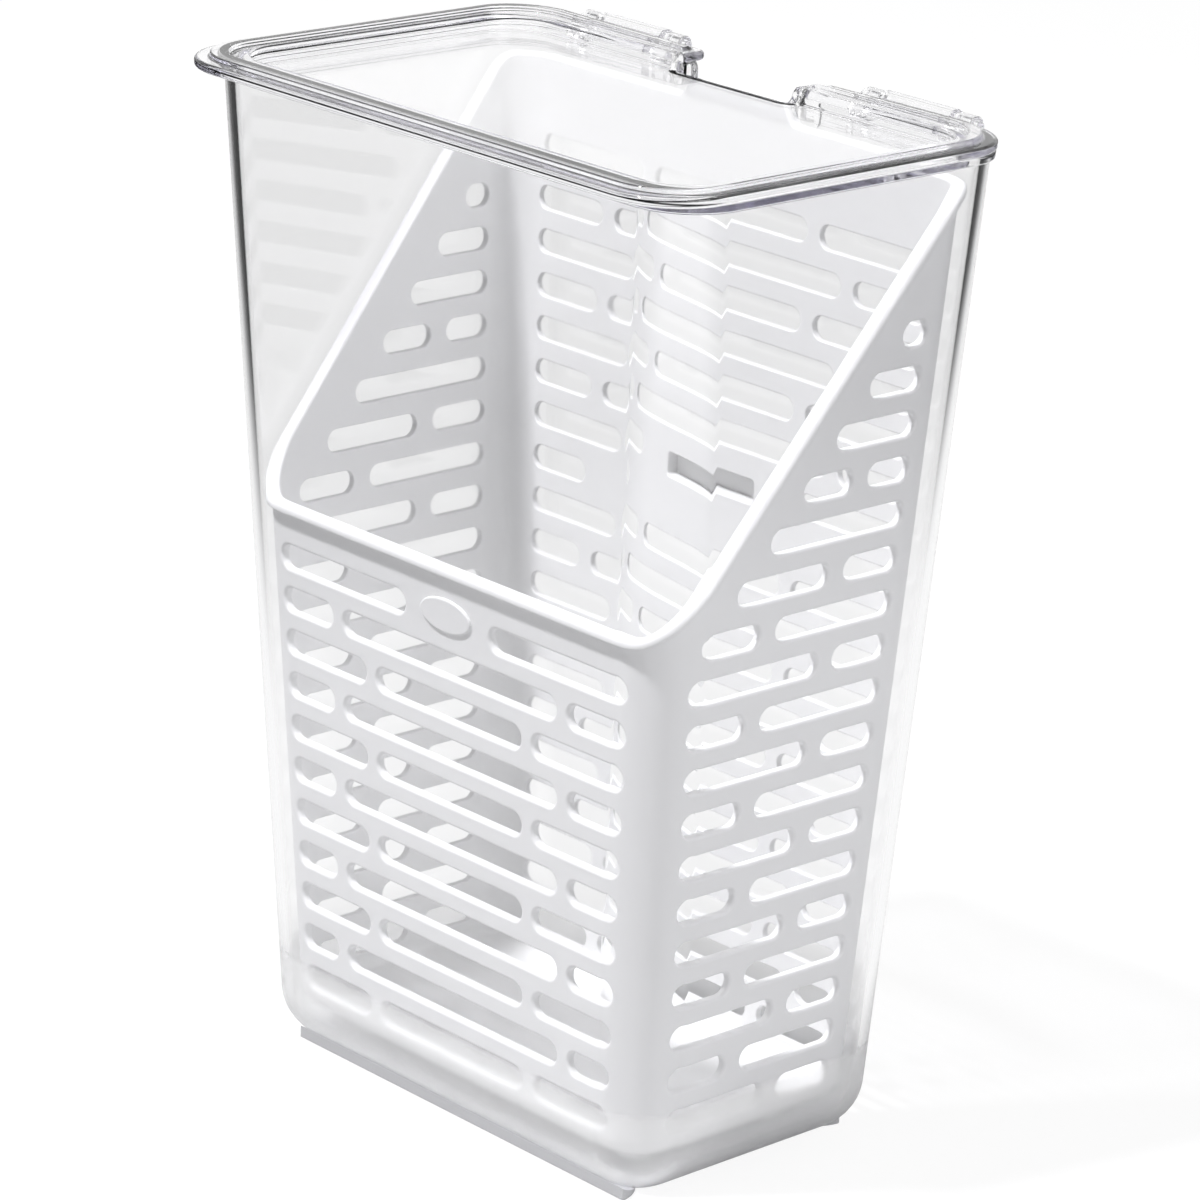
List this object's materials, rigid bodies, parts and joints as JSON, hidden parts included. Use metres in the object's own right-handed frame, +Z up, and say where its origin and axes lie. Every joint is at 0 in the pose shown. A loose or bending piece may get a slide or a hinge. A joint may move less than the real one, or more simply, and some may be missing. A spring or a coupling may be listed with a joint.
{
  "type": "herb keeper",
  "caption": "Tall tapered clear container with a rear-hinged clear lid and a white slotted basket with a slanted mouth, for keeping fresh herbs upright over water.",
  "frame": {"origin": "on the resting plane, under the middle of the whole object's box", "axes": "+Z up, +Y towards the hinge side, +X to the right as seen from the front"},
  "size_m": [0.15, 0.1046, 0.2202],
  "materials": {
    "clear_body": "clear gloss",
    "clear_lid": "clear gloss",
    "white_basket": "satin",
    "hinge_pin": "clear gloss",
    "grey_foot": "matt"
  },
  "bodies": {
    "container": {"container": "clear_body", "hinge_pin_left": "hinge_pin", "hinge_pin_right": "hinge_pin", "front_foot": "grey_foot", "rear_foot": "grey_foot"},
    "lid": {"lid": "clear_lid"},
    "basket": {"basket": "white_basket"}
  },
  "joints": [
    {"name": "lid_hinge", "type": "hinge", "parent": "container", "child": "lid", "pos_m": [0, 0.05015, 0.218], "axis": [-1, 0, 0], "range_deg": [0, 105]},
    {"name": "basket_lift", "type": "slide", "parent": "container", "child": "basket", "axis": [0, 0, 1], "range_m": [0, 0.0035]}
  ]
}
